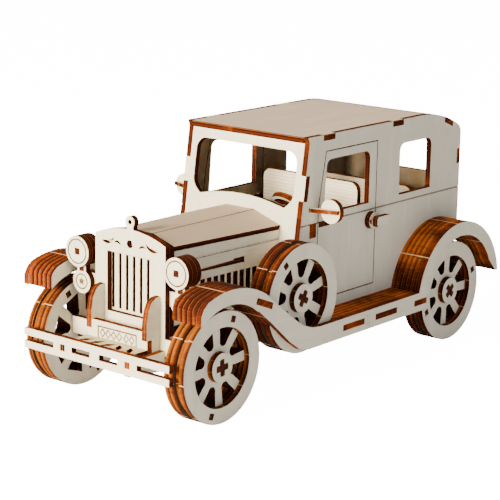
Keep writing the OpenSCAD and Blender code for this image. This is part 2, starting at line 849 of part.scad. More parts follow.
module side_panel(spare = true) {
  color(veneer) difference() {
    along(side_inner) difference() {
      side_outline2();
      polygon(door_outline(0));
      window2(155, 183.8, 0, 83.5, 110.6, 4);
      roof_edge2(slot_gap);
      translate([windshield_y, roof_under]) rotate(-windshield_lean)
        box2([-1, -windshield_tab[1] - slot_gap], [ply + slot_gap, -windshield_tab[0] + slot_gap]);
      box2([dash_y - slot_gap, dash_tab_z[0] - slot_gap],
        [dash_y + dash_t + slot_gap, dash_tab_z[1] + shelf_t + slot_gap]);
      box2([back_y - ply - slot_gap, back_tab[0] - slot_gap], [back_y + 1, back_tab[1] + slot_gap]);
      translate([wheelbase, axle_z]) circle(r = arch_r, $fn = round_n);
      if (spare)
        translate([spare_y, spare_z]) rotate(spare_turn) cross2(slot_gap);
      translate([mirror_y, mirror_z]) square(mirror_bar + 2 * slot_gap, center = true);
    }
    along(side_half - engrave, 1) box2([door_rear, belt_z - engrave_w / 2], [back_y + 1, belt_z + engrave_w / 2]);
    along(side_half - engrave, 1) box2([60, belt_z - engrave_w / 2], [door_front, belt_z + engrave_w / 2]);
    for (z = [door_sill, door_top - 1])
      translate([hinge_x, hinge_y, z - hinge_pin_len - 0.2]) cylinder(h = 2 * hinge_pin_len + 1,
        r = hinge_pin_r + shaft_gap, $fn = small_n);
  }
}

module side_panel_left() { side_panel(); }
module side_panel_right() { mirrored() side_panel(spare = false); }

module back_panel() {
  foot = floor_top - 3;
  color(veneer) across(back_y - ply) difference() {
    union() {
      box2([-side_inner, foot], [side_inner, roof_z - roof_curve_r + 58]);
      box2([-side_half, back_tab[0]], [side_half, back_tab[1]]);
    }
    window2(-22, 22, 0, 86, 105, 4);
  }
}

// --- Doors -----------------------------------------------------------------

module door() {
  color(veneer) difference() {
    along(side_inner) difference() {
      polygon(door_outline(door_gap));
      window2(door_front + 4.7, door_rear - 6.4, 1.8, 83.4, 110.6, 3.8);
      box2([hinge_tab[0], belt_z - 2.6], [hinge_tab[1], belt_z + 0.2]);
      translate([handle_y, handle_z]) circle(r = handle_shaft_r + shaft_gap, $fn = small_n);
    }
    along(side_half - engrave, 1) box2([door_front, belt_z - engrave_w / 2], [door_rear, belt_z + engrave_w / 2]);
    translate([hinge_x, hinge_y, 0]) for (z = [door_sill, door_top - hinge_pin_len])
      translate([0, 0, z]) cylinder(h = hinge_pin_len, r = hinge_pin_r, $fn = small_n);
  }
}

module door_left() { door(); }
module door_right() { mirrored() door(); }

// Pins at the top and bottom of a door, and the dark plug at its belt line.
module door_hinges() {
  color(burnt) {
    for (z = [door_sill - hinge_pin_len + 0.4, door_top - hinge_pin_len])
      translate([hinge_x, hinge_y, z]) cylinder(h = 2 * hinge_pin_len - 0.4, r = hinge_pin_r, $fn = small_n);
    along(side_inner) box2([hinge_tab[0] + slot_gap, belt_z - 2.6 + slot_gap],
      [hinge_tab[1] - slot_gap, belt_z + 0.2 - slot_gap]);
  }
}

module door_hinges_left() { door_hinges(); }
module door_hinges_right() { mirrored() door_hinges(); }

module handle_base() {
  color(veneer) along(side_half) translate([handle_y, handle_z]) difference() {
    circle(r = handle_disc_r, $fn = small_n);
    circle(r = handle_shaft_r + shaft_gap, $fn = small_n);
  }
}

module handle_base_left() { handle_base(); }
module handle_base_right() { mirrored() handle_base(); }

// Shaft, outer arm and grip, and inner washer of one door handle.
module door_handle() {
  disc_x = side_half + ply;
  grip_x = disc_x + handle_reach;
  washer_t = 2;
  color(veneer) translate([0, handle_y, handle_z]) {
    translate([side_inner - 0.1 - washer_t, 0, 0]) rotate([0, 90, 0])
      cylinder(h = 2 * ply + 0.2 + washer_t, r = handle_shaft_r, $fn = small_n);
    translate([side_inner - 0.1 - washer_t, 0, 0]) rotate([0, 90, 0])
      cylinder(h = washer_t, r = 3.2, $fn = small_n);
    along(disc_x + 0.1, handle_reach) box2([-4.1, -1], [3, 1]);
    along(grip_x) polygon([[-3.3, -1.4], [-2.2, -2.6], [7.2, -2.6], [9, -0.6], [9, 1.4], [7.4, 2.8],
      [-2, 2.8], [-3.3, 1.6]]);
  }
}

module door_handle_left() { door_handle(); }
module door_handle_right() { mirrored() door_handle(); }

// --- Mirrors ---------------------------------------------------------------

// A thin level arm that leans back from the side panel.
module mirror_arm() {
  half = mirror_bar / 2;
  color(burnt) {
    translate([side_inner, mirror_y - half, mirror_z - half]) cube([ply + 1.2, mirror_bar, mirror_bar]);
    translate([side_half + 0.3, mirror_y, mirror_z - half]) rotate([0, 0, mirror_turn])
      translate([0.3, -half, 0]) cube([mirror_reach - 0.6, mirror_bar, mirror_bar]);
  }
}

// The arm with its disc, which faces straight ahead behind the arm's end.
module mirror_left() {
  mirror_arm();
  disc_y = mirror_y + mirror_reach * sin(mirror_turn) + mirror_bar / 2 * cos(mirror_turn) - 0.3;
  color(veneer) across(disc_y)
    translate([side_half + mirror_reach * cos(mirror_turn) - mirror_r + 0.7, mirror_z - 0.4])
      circle(r = mirror_r, $fn = round_n);
}

module mirror_right() { mirrored() mirror_left(); }

// --- Fenders and running boards --------------------------------------------

// Outline of a front fender as far as the running board.
module front_fender2() {
  crown_c = [front_arch_y + 1.4, front_crown_z - front_crown_r];
  difference() {
    polygon(concat([[-22.4, 52.2], [-22.4, 56.7], [-20.6, 60.2]],
      arc(crown_c, front_crown_r, 110, 59, 12),
      [[36.5, 48.9], [47.5, 40.7], [53.9, 37], [59.5, 35.1], [66, board_top], [board_joint, board_top],
        [board_joint, board_bottom], [57, board_bottom], [50.4, 25.9], [42.5, 31.2], [26.9, 44.6],
        [18, 51.6], [8, 40], [-20, 40]]));
    translate([front_arch_y, axle_z]) circle(r = arch_r, $fn = round_n);
    box2([-40, 0], [front_arch_y, 52.2]);
  }
}

// Outline of a rear fender with its length of running board.
module rear_fender2() {
  difference() {
    union() {
      box2([board_joint, board_bottom], [wheelbase - 12, board_top]);
      intersection() {
        translate([wheelbase - 0.5, axle_z]) circle(r = rear_fender_r, $fn = round_n);
        box2([wheelbase - 60, 33], [wheelbase + 60, 100]);
      }
    }
    translate([wheelbase, axle_z]) circle(r = arch_r, $fn = round_n);
    polygon([[wheelbase + 20, 20], [wheelbase + 27, 42], [wheelbase + 35.6, 33], [wheelbase + 35.6, 20]]);
  }
}

module joint_knob2(gap = 0) {
  mid = (board_top + board_bottom) / 2;
  translate([board_joint, mid]) polygon([[1, -1.4 - gap], [-2.2 - gap, -2.4 - gap],
    [-2.2 - gap, 2.4 + gap], [1, 1.4 + gap]]);
}

module tie2(gap = 0) {
  translate([tie_y, tie_z]) rotate(tie_turn)
    square([tie_w + 2 * gap, ply + 2 * gap], center = true);
}

module floor_tab_slots2() {
  for (t = floor_tabs)
    box2([t[0] - slot_gap, floor_z - slot_gap], [t[1] + slot_gap, floor_top + slot_gap]);
}

module fender_front() {
  color(veneer) along(fender_inner) difference() {
    front_fender2();
    joint_knob2(slot_gap);
    tie2(slot_gap);
    floor_tab_slots2();
  }
}

module fender_rear() {
  color(veneer) along(fender_inner) difference() {
    union() {
      rear_fender2();
      joint_knob2();
    }
    floor_tab_slots2();
  }
}

module fender_front_left() { fender_front(); }
module fender_front_right() { mirrored() fender_front(); }
module fender_rear_left() { fender_rear(); }
module fender_rear_right() { mirrored() fender_rear(); }

module spare_well2() {
  translate([spare_y, spare_z]) circle(r = well_r, $fn = round_n);
}

// Layers behind the outer plate; the spare wheel stands in a round well cut through them.
module front_fender_plies(spare = true) {
  split = spare ? spare_y : 66;
  color(veneer_dark) for (i = [0 : fender_plies - 1])
    along(side_half + i * ply) difference() {
      intersection() {
        front_fender2();
        box2([-21.5, spare ? 30 : 20], [split, 100]);
      }
      if (spare)
        spare_well2();
      tie2(slot_gap);
    }
}

module running_board_plies(spare = true) {
  start = spare ? spare_y : 66;
  color(veneer_dark) for (i = [0 : fender_plies - 1])
    along(side_half + i * ply) difference() {
      union() {
        rear_fender2();
        box2([start, board_bottom], [board_joint, board_top]);
      }
      if (spare)
        spare_well2();
      floor_tab_slots2();
    }
}

module front_fender_plies_left() { front_fender_plies(); }
module front_fender_plies_right() { mirrored() front_fender_plies(spare = false); }
module running_board_plies_left() { running_board_plies(); }
module running_board_plies_right() { mirrored() running_board_plies(spare = false); }

// Sheets that tie each front fender to the hood side.
module fender_ties() {
  start = hood_front_half + (tie_y + tie_w) * tan(hood_taper) + 0.2;
  color(burnt) both_sides() along(start, fender_half - start) tie2();
}

// --- The model -------------------------------------------------------------

floor_plate();
chassis_rails();
chassis_crossmembers();
bumper_irons();
front_bumper();
bumper_apron();
number_plate();
grille_frame();
grille_bars();
front_wing_plates();
lamp_brackets();
headlight_left();
headlight_right();
lamp_pins();
hood_top();
hood_slope_left();
hood_slope_right();
hood_side_left();
hood_side_right();
hood_spears();
hood_formers();
windshield_frame();
dashboard();
steering_column();
steering_wheel();
front_seat_left();
front_seat_right();
rear_seat();
side_panel_left();
side_panel_right();
roof_panel();
back_panel();
door_left();
door_right();
door_hinges_left();
door_hinges_right();
handle_base_left();
handle_base_right();
door_handle_left();
door_handle_right();
mirror_left();
mirror_right();
fender_front_left();
fender_front_right();
fender_rear_left();
fender_rear_right();
front_fender_plies_left();
front_fender_plies_right();
running_board_plies_left();
running_board_plies_right();
fender_ties();
spare_wheel();
spare_spindle();
front_axle();
rear_axle();
front_wheels();
rear_wheels();
front_wheel_pins();
rear_wheel_pins();
spare_wheel_pins();
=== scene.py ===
"""Vintage limousine cut from plywood sheet, dressed for a studio scene.

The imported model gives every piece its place. This file gives each cut sheet its veneer faces and its
singed edges, adds the burnt line work, and sets the floor, the lights and the camera.
"""

from __future__ import annotations

import logging
import math
from dataclasses import dataclass
from enum import Enum
from typing import Any, ClassVar, Protocol

import bmesh
import bpy
from mathutils import Matrix, Vector


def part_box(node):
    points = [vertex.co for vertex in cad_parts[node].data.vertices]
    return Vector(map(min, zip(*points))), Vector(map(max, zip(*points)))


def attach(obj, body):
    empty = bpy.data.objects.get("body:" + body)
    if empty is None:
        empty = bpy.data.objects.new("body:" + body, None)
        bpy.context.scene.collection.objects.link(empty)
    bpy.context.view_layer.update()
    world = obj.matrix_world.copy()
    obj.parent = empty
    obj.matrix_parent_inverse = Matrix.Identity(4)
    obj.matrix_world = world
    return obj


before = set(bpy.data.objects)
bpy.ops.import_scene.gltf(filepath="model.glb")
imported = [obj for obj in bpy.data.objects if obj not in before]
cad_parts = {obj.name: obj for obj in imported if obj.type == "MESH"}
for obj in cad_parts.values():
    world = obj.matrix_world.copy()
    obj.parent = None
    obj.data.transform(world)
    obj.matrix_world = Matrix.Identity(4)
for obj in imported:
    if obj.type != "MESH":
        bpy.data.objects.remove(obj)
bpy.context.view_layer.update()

log = logging.getLogger("limousine")

Triple = tuple[float, float, float]
MM = 0.001
FAR = 999.0  # millimetres; a bound this far out is no bound
RELIEF_STRENGTH = 0.35
WOOD_SPECULAR = 0.10
X: Triple = (1.0, 0.0, 0.0)
Y: Triple = (0.0, 1.0, 0.0)
Z: Triple = (0.0, 0.0, 1.0)


# --- Shader maths -----------------------------------------------------------


class Field:
    """A number that varies over a surface, carried by one node socket."""

    def __init__(self, graph: "Graph", socket: Any) -> None:
        """Wrap a socket.

        Args:
            graph: The graph that the socket belongs to.
            socket: An output socket that carries a number.
        """
        self.graph = graph
        self.socket = socket

    def _op(self, kind: str, *values: Any) -> "Field":
        """Return the result of one Math node on the given values."""
        return self.graph.number("ShaderNodeMath", {"operation": kind}, dict(enumerate(values)))

    def __add__(self, other: Any) -> "Field":
        """Return self + other."""
        return self._op("ADD", self, other)

    __radd__ = __add__

    def __sub__(self, other: Any) -> "Field":
        """Return self - other."""
        return self._op("SUBTRACT", self, other)

    def __rsub__(self, other: Any) -> "Field":
        """Return other - self."""
        return self._op("SUBTRACT", other, self)

    def __mul__(self, other: Any) -> "Field":
        """Return self * other."""
        return self._op("MULTIPLY", self, other)

    __rmul__ = __mul__

    def __abs__(self) -> "Field":
        """Return the size of self without its sign."""
        return self._op("ABSOLUTE", self)

    def __gt__(self, other: Any) -> "Field":
        """Return 1 where self is above other, else 0."""
        return self._op("GREATER_THAN", self, other)

    def __lt__(self, other: Any) -> "Field":
        """Return 1 where self is below other, else 0."""
        return self._op("LESS_THAN", self, other)

    def __or__(self, other: Any) -> "Field":
        """Return the larger of two masks."""
        return self._op("MAXIMUM", self, other)

    def __and__(self, other: Any) -> "Field":
        """Return the product of two masks."""
        return self._op("MULTIPLY", self, other)

    def fraction(self) -> "Field":
        """Return what is left of self after its whole part."""
        return self._op("FRACT", self)

    def power(self, exponent: float) -> "Field":
        """Return self raised to a power."""
        return self._op("POWER", self, exponent)

    def ramp(self, low: float, high: float) -> "Field":
        """Return a smooth step of self.

        Args:
            low: Where the result is 0.
            high: Where the result is 1; it may be below low.

        Returns:
            A mask between 0 and 1.
        """
        flip = high < low
        a, b = (high, low) if flip else (low, high)
        settings = {"interpolation_type": "SMOOTHSTEP", "clamp": True}
        out = self.graph.number(
            "ShaderNodeMapRange", settings, {"Value": self, "From Min": a, "From Max": b}
        )
        return 1.0 - out if flip else out


class Graph:
    """The node tree of one material, with short ways to add to it."""

    def __init__(self, name: str) -> None:
        """Make an empty material.

        Args:
            name: The material's name.
        """
        self.material = bpy.data.materials.new(name)
        self.material.use_nodes = True
        self.nodes = self.material.node_tree.nodes
        self.links = self.material.node_tree.links
        self.nodes.clear()
        self.output = self.nodes.new("ShaderNodeOutputMaterial")

    def add(self, kind: str, settings: dict[str, Any], inputs: dict[Any, Any]) -> Any:
        """Add any node.

        Args:
            kind: The node's type.
            settings: Its own settings, set before its sockets.
            inputs: A value or a link for each input, by name or number.

        Returns:
            The node.
        """
        node = self.nodes.new(kind)
        for key, value in settings.items():
            setattr(node, key, value)
        for key, value in inputs.items():
            self.feed(node.inputs[key], value)
        return node

    def feed(self, socket: Any, value: Any) -> None:
        """Give an input socket a value or a link."""
        if isinstance(value, Field):
            self.links.new(value.socket, socket)
        elif isinstance(value, bpy.types.NodeSocket):
            self.links.new(value, socket)
        elif socket.type == "RGBA" and len(value) == 3:
            socket.default_value = (*value, 1.0)
        else:
            socket.default_value = value

    def number(self, kind: str, settings: dict[str, Any], inputs: dict[Any, Any]) -> Field:
        """Add a node whose first output is a number."""
        return Field(self, self.add(kind, settings, inputs).outputs[0])

    def mix(self, factor: Any, a: Any, b: Any) -> Any:
        """Mix two colours.

        Args:
            factor: How much of b shows.
            a: The colour where factor is 0.
            b: The colour where factor is 1.

        Returns:
            The mixed colour's socket.
        """
        settings = {"data_type": "RGBA", "blend_type": "MIX", "clamp_factor": True}
        node = self.add("ShaderNodeMix", settings, {0: factor, 6: a, 7: b})
        return node.outputs[2]

    def vector(self, kind: str, *values: Any) -> Any:
        """Add a Vector Math node and return its vector."""
        return self.add("ShaderNodeVectorMath", {"operation": kind}, dict(enumerate(values))).outputs[0]

    def dot(self, a: Any, b: Any) -> Field:
        """Return the dot product of two vectors."""
        node = self.add("ShaderNodeVectorMath", {"operation": "DOT_PRODUCT"}, {0: a, 1: b})
        return Field(self, node.outputs["Value"])

    def scaled(self, vector: Any, by: Any) -> Any:
        """Return a vector times a number."""
        inputs = {0: vector, "Scale": by}
        return self.add("ShaderNodeVectorMath", {"operation": "SCALE"}, inputs).outputs[0]

    def axes(self, place: Any) -> tuple[Field, Field, Field]:
        """Return a place's X, Y and Z."""
        x, y, z = self.add("ShaderNodeSeparateXYZ", {}, {0: place}).outputs
        return Field(self, x), Field(self, y), Field(self, z)

    def matt_wood(self, colour: Any, rough: Field, height: Field, relief: float) -> bpy.types.Material:
        """End the material with dry, unpolished wood.

        Args:
            colour: Its colour.
            rough: Its roughness.
            height: The height of its relief, from 0 to 1.
            relief: The depth of that relief, in metres.

        Returns:
            The finished material.
        """
        raised = {"Strength": RELIEF_STRENGTH, "Distance": relief, "Height": height}
        bump = self.add("ShaderNodeBump", {}, raised).outputs[0]
        inputs = {
            "Base Color": colour,
            "Roughness": rough,
            "Normal": bump,
            "Specular IOR Level": WOOD_SPECULAR,
        }
        shader = self.add("ShaderNodeBsdfPrincipled", {}, inputs)
        self.links.new(shader.outputs[0], self.output.inputs[0])
        return self.material

    def noise(self, place: Any, scale: float, detail: float = 3.0, rough: float = 0.5) -> Field:
        """Return a noise between 0 and 1 at a place.

        Args:
            place: The coordinates, in millimetres.
            scale: Lumps per millimetre.
            detail: How many finer layers it has.
            rough: How strong the finer layers are.

        Returns:
            The noise.
        """
        inputs = {"Vector": place, "Scale": scale, "Detail": detail, "Roughness": rough}
        return self.number("ShaderNodeTexNoise", {"noise_dimensions": "3D"}, inputs)


# --- Plywood ----------------------------------------------------------------


class Grain(Enum):
    """The direction in which the face veneer's grain runs."""

    ACROSS = (1.0, 0.0, 0.0)
    ALONG = (0.0, 1.0, 0.0)
    UP = (0.0, 0.0, 1.0)


@dataclass(frozen=True)
class Sheet:
    """One flat sheet inside a node.

    Attributes:
        normal: The direction across the sheet's thickness.
        low: The lowest corner of the space that this sheet alone fills, in millimetres.
        high: The highest corner of that space, in millimetres.
    """

    normal: Triple
    low: Triple | None = None
    high: Triple | None = None


@dataclass(frozen=True)
class Hollow:
    """The parts of a stacked wheel that are darkened with painted shade, deep in its hollow. Every size is
    in millimetres.

    A pair of sizes says where the painted shade starts, and where it is full.

    Attributes:
        rim: The radius at which the gaps between the spokes end.
        hub: The radius at which those gaps begin.
        lip: The radius at which the groove in the rim begins.
        lip_t: How far the groove's floor lies behind the outer face.
        behind: How far behind the outer face the dark layers begin.
        back: How far behind the outer face they end.
        spoke_edge_char_and_shade: How dark the cut edges of the spokes get, from 0 to 1: char and painted
            shade.
        face_painted_shade: How dark the painted shade makes the faces behind the spokes.
        lip_painted_shade: How dark the painted shade makes the groove's floor.
    """

    rim: tuple[float, float] = (19.0, 18.7)
    hub: tuple[float, float] = (7.6, 8.2)
    lip: tuple[float, float] = (25.2, 25.6)
    lip_t: float = 2.0
    behind: tuple[float, float] = (4.0, 4.6)
    back: float = 11.5
    spoke_edge_char_and_shade: float = 0.86
    face_painted_shade: float = 0.9
    lip_painted_shade: float = 0.92


@dataclass(frozen=True)
class Plywood:
    """Birch plywood cut by laser: pale veneer on its faces and singed layers on its edges.

    Attributes:
        sheets: The flat sheets of the node.
        grain: Which way the face grain runs.
        veneer: The colour of the pale face wood.
        streak: The colour of the grain lines.
        warm: The bright colour of a lightly singed edge.
        deep: The dark colour of a heavily singed edge; also the colour of the painted shade on stacked
            layers and deep in a wheel.
        start: Where the first layer of a stack begins, along its normal, in millimetres.
        layer: The thickness of one sheet, in millimetres.
        stacked: Whether the node is a stack of glued sheets.
        char: How much of the edge is heavily singed, from 0 to 1.
        char_and_painted_shade: How dark each stacked layer gets towards its outer side, from 0 to 1: partly
            char, partly painted shade.
        glow: The colour of the thin bright line where an edge meets a face: partly the paler outer layer of
            the cut, partly a painted highlight on the corner.
        marks: The centre of a wheel or fender whose edge has bridge marks, in Y and Z, or None.
        groove: A direction, and how far along it the floor of an engraved line lies, or None.
        line: The colour of the floor of an engraved line.
        ribs: The distance between fine level lines on the faces, in millimetres, or 0 for none.
        inner_shade_bound: A direction, and how far along it the painted shade on the inner faces ends, or
            None.
        hollow: The parts round the marks' centre that get painted shade, or None.
        relief: The depth of the surface's relief, in metres.
        scorch: The colour of the veneer beside a sharp corner.
        seam: The colour of the joint between two stacked layers.
        bridge: The colour of the bridge marks.
        bridges: How many bridge marks go round the centre, and how far on the first is, in marks.
        painted_inner_shade: The colour of the painted shade on the inner faces.
        ruled: The colour of the fine level lines.
    """

    sheets: tuple[Sheet, ...]
    grain: Grain = Grain.UP
    veneer: Triple = (0.72, 0.665, 0.555)
    streak: Triple = (0.56, 0.46, 0.33)
    warm: Triple = (0.25, 0.040, 0.0015)
    deep: Triple = (0.026, 0.0028, 0.0005)
    start: float = 0.0
    layer: float = 3.0
    stacked: bool = False
    char: float = 0.6
    char_and_painted_shade: float = 1.0
    glow: Triple = (0.50, 0.15, 0.020)
    marks: tuple[float, float] | None = None
    groove: tuple[Triple, float] | None = None
    line: Triple = (0.085, 0.022, 0.007)
    ribs: float = 0.0
    hollow: Hollow | None = None
    inner_shade_bound: tuple[Triple, float] | None = None
    relief: ClassVar[float] = 0.00014
    scorch: ClassVar[Triple] = (0.26, 0.10, 0.035)
    seam: ClassVar[Triple] = (0.020, 0.003, 0.001)
    bridge: ClassVar[Triple] = (0.80, 0.50, 0.24)
    bridges: ClassVar[tuple[int, float]] = (8, 0.37)
    painted_inner_shade: ClassVar[Triple] = (0.165, 0.095, 0.032)
    ruled: ClassVar[Triple] = (0.36, 0.22, 0.11)

    def _face_mask(self, graph: Graph, place: Any, normal: Any) -> Field:
        """Return 1 on the veneer faces and 0 on the cut edges."""
        mask: Field | None = None
        for sheet in self.sheets:
            facing = abs(graph.dot(normal, sheet.normal)).ramp(0.86, 0.94)
            if sheet.low is not None and sheet.high is not None:
                for value, low, high in zip(graph.axes(place), sheet.low, sheet.high):
                    if low > -FAR:
                        facing = facing & (value > low)
                    if high < FAR:
                        facing = facing & (value < high)
            mask = facing if mask is None else mask | facing
        assert mask is not None
        return mask

    def _stretched(self, graph: Graph, place: Any, direction: Triple, keep: float) -> Any:
        """Return the place squeezed along a direction, so that a noise runs in lines along it."""
        along = graph.dot(place, direction)
        return graph.vector("SUBTRACT", place, graph.scaled(direction, along * (1.0 - keep)))

    def _veneer_colour(self, graph: Graph, place: Any) -> tuple[Any, Field]:
        """Return the face colour and its grain height."""
        lines = graph.noise(self._stretched(graph, place, self.grain.value, 0.035), 1.5, 6.0, 0.62)
        broad = graph.noise(self._stretched(graph, place, self.grain.value, 0.12), 0.16, 3.0, 0.5)
        pores = graph.noise(self._stretched(graph, place, self.grain.value, 0.10), 5.5, 2.0, 0.5)
        colour = graph.mix(lines.ramp(0.50, 0.78) * 0.55, self.veneer, self.streak)
        paler = tuple(min(1.0, c * 1.13) for c in self.veneer)
        colour = graph.mix(broad.ramp(0.46, 0.70) * 0.55, colour, paler)
        darker = tuple(c * 0.62 for c in self.streak)
        colour = graph.mix(pores.ramp(0.66, 0.74) * 0.35, colour, darker)
        return colour, lines * 0.6 + pores * 0.4

    def _edge_colour(self, graph: Graph, place: Any) -> tuple[Any, Field]:
        """Return the cut edge's colour and its height."""
        normal = self.sheets[0].normal
        cuts = graph.noise(self._stretched(graph, place, normal, 0.05), 2.6, 3.0, 0.6)
        burn = graph.noise(place, 0.055, 2.0, 0.5) + (cuts - 0.5) * 0.55
        centre = 0.62 - 0.3 * self.char
        colour = graph.mix(burn.ramp(centre - 0.14, centre + 0.16), self.warm, self.deep)
        depth = ((graph.dot(place, normal) - self.start) * (1.0 / self.layer)).fraction()
        inner = abs(depth - 0.5)
        core = inner.ramp(0.20, 0.13)
        cored = tuple(0.55 * a + 0.45 * b for a, b in zip(self.warm, self.deep))
        colour = graph.mix(core * 0.35, colour, cored)
        height = cuts * 0.7 - core * 0.12
        if self.stacked:
            # Each stacked layer darkens towards its outer side: partly char, partly painted shade beside the
            # lit part of the edge.
            outer_char_and_shade = (depth + (burn - 0.5) * 0.35).ramp(0.28, 0.74)
            colour = graph.mix(outer_char_and_shade * self.char_and_painted_shade, colour, self.deep)
            # A bright line at the start of each layer: partly the paler outer layer, partly a painted
            # highlight on its corner.
            colour = graph.mix(depth.ramp(0.13, 0.05) * 0.6, colour, self.glow)
            seam = inner.ramp(0.462, 0.484)
            colour = graph.mix(seam * 0.95, colour, self.seam)
            height = height - seam * 1.5
        else:
            # A bright line where the edge meets either face: partly the paler outer layer, partly a painted
            # highlight on the corner.
            colour = graph.mix(inner.ramp(0.40, 0.46) * 0.35, colour, self.glow)
        if self.marks is not None:
            colour = self._bridge_marks(graph, place, colour)
        return colour, height

    def _bridge_marks(self, graph: Graph, place: Any, colour: Any) -> Any:
        """Lay thin pale marks across the edge, where the cutting beam was held back."""
        _, y, z = graph.axes(place)
        y, z = y - self.marks[0], z - self.marks[1]
        angle = graph.number("ShaderNodeMath", {"operation": "ARCTAN2"}, {0: z, 1: y})
        count, first = self.bridges
        turn = (angle * (count / (2.0 * math.pi)) + first).fraction()
        mark = abs(turn - 0.5).ramp(0.012, 0.006)
        return graph.mix(mark * 0.85, colour, self.bridge)

    def build(self, name: str) -> bpy.types.Material:
        """Make the material.

        Args:
            name: The material's name.

        Returns:
            The finished material.
        """
        graph = Graph(name)
        where = graph.add("ShaderNodeTexCoord", {}, {})
        place = graph.scaled(where.outputs["Object"], 1.0 / MM)
        face = self._face_mask(graph, place, where.outputs["Normal"])
        face_colour, face_height = self._veneer_colour(graph, place)
        edge_colour, edge_height = self._edge_colour(graph, place)
        corner = self._corner_mask(graph)
        patches = graph.noise(place, 0.35, 3.0, 0.6)
        browned = graph.mix(corner & patches.ramp(0.28, 0.55), face_colour, self.scorch)
        browned = self._line_work(graph, place, browned)
        colour = graph.mix(face, edge_colour, browned)
        if self.hollow is not None:
            colour = self._painted_hollow_shade(graph, place, face, colour, self.hollow)
        height = face * face_height + (1.0 - face) * edge_height
        rough = 0.86 - face * 0.26 + face_height * 0.12
        return graph.matt_wood(colour, rough, height, self.relief)

    def _painted_hollow_shade(self, graph: Graph, place: Any, face: Field, colour: Any, hollow: Hollow) -> Any:
        """Paint shade on the layers behind a wheel's spokes, on the floor of the groove in its rim, and on
        the charred cut edges between the spokes.

        Args:
            graph: The graph to add to.
            place: The place, in millimetres.
            face: The mask of the veneer faces.
            colour: The colour so far.
            hollow: The sizes of the sooty parts.

        Returns:
            The darkened colour.
        """
        x, y, z = graph.axes(place)
        y, z = y - self.marks[0], z - self.marks[1]
        radius = (y * y + z * z).power(0.5)
        within = radius.ramp(*hollow.rim) & radius.ramp(*hollow.hub)
        out = abs(x)
        inside = out > self.start - hollow.back
        behind = out.ramp(*(self.start - depth for depth in hollow.behind)) & inside
        # Painted shade: the faces deep behind the spokes, the groove's floor and the cut edges between the
        # spokes are darkened as if in the shade of the hollow.
        char_and_painted_shade = within & ((1.0 - face) * hollow.spoke_edge_char_and_shade | behind * hollow.face_painted_shade)
        lip = radius.ramp(*hollow.lip) & (out < self.start - hollow.lip_t) & inside
        char_and_painted_shade = char_and_painted_shade | (lip & face) * hollow.lip_painted_shade
        return graph.mix(char_and_painted_shade, colour, self.deep)

    def _line_work(self, graph: Graph, place: Any, colour: Any) -> Any:
        """Burn the engraved lines, paint shade on the inner faces and rule the fine level lines."""
        if self.groove is not None:
            direction, level = self.groove
            sunk = abs(abs(graph.dot(place, direction)) - level).ramp(0.20, 0.12)
            colour = graph.mix(sunk * 0.92, colour, self.line)
        if self.inner_shade_bound is not None:
            # Painted shade: the inner faces of the body are darkened in soft patches, standing in for the
            # shade inside the closed cabin.
            direction, level = self.inner_shade_bound
            inside = abs(graph.dot(place, direction)).ramp(level + 0.2, level - 0.2)
            painted_inner_shade = graph.noise(place, 0.05, 3.0, 0.55).ramp(0.25, 0.75) * 0.25 + 0.70
            colour = graph.mix(inside * painted_inner_shade, colour, self.painted_inner_shade)
        if self.ribs > 0.0:
            step = (graph.dot(place, Z) * (1.0 / self.ribs)).fraction()
            line = abs(step - 0.5).ramp(0.16, 0.05)
            colour = graph.mix(line * 0.42, colour, self.ruled)
        return colour

    @staticmethod
    def _corner_mask(graph: Graph) -> Field:
        """Return 1 within a hair of a sharp corner, where the laser's fumes stain the veneer."""
        flat = graph.add("ShaderNodeNewGeometry", {}, {}).outputs["Normal"]
        soft = graph.add("ShaderNodeBevel", {"samples": 4}, {"Radius": 0.0004}).outputs[0]
        return graph.dot(flat, soft).ramp(0.999, 0.93)


@dataclass(frozen=True)
class Charred:
    """Small pieces of wood that the laser has burnt nearly black all over.

    Attributes:
        warm: The colour where the burn is thinnest.
        deep: The colour where it is thickest.
        relief: The depth of the surface's relief, in metres.
    """

    warm: Triple = (0.090, 0.016, 0.004)
    deep: Triple = (0.018, 0.003, 0.001)
    relief: ClassVar[float] = 0.00015

    def build(self, name: str) -> bpy.types.Material:
        """Make the material.

        Args:
            name: The material's name.

        Returns:
            The finished material.
        """
        graph = Graph(name)
        where = graph.add("ShaderNodeTexCoord", {}, {}).outputs["Object"]
        place = graph.scaled(where, 1.0 / MM)
        patches = graph.noise(place, 0.7, 3.0, 0.6)
        fibres = graph.noise(place, 4.0, 2.0, 0.5)
        colour = graph.mix(patches.ramp(0.35, 0.62), self.warm, self.deep)
        colour = graph.mix(fibres.ramp(0.60, 0.72) * 0.4, colour, self.warm)
        height = fibres * 0.7 + patches * 0.3
        return graph.matt_wood(colour, 0.75 + fibres * 0.2, height, self.relief)


class Finish(Protocol):
    """Anything that can make a material."""

    def build(self, name: str) -> bpy.types.Material:
        """Make the material under a name."""


# --- Where each sheet lies ---------------------------------------------------


def tilted(degrees: float, a: int, b: int) -> Triple:
    """Return the unit direction of axis a turned towards axis b.

    Args:
        degrees: The turn.
        a: The axis that it starts from.
        b: The axis that it turns to.

    Returns:
        The direction.
    """
    out = [0.0, 0.0, 0.0]
    out[a] = math.cos(math.radians(degrees))
    out[b] = math.sin(math.radians(degrees))
    return (out[0], out[1], out[2])


def mirrored(sheet: Sheet) -> Sheet:
    """Return the same sheet on the other side of the car."""
    n = (-sheet.normal[0], sheet.normal[1], sheet.normal[2])
    if sheet.low is None or sheet.high is None:
        return Sheet(n)
    return Sheet(n, (-sheet.high[0], *sheet.low[1:]), (-sheet.low[0], *sheet.high[1:]))


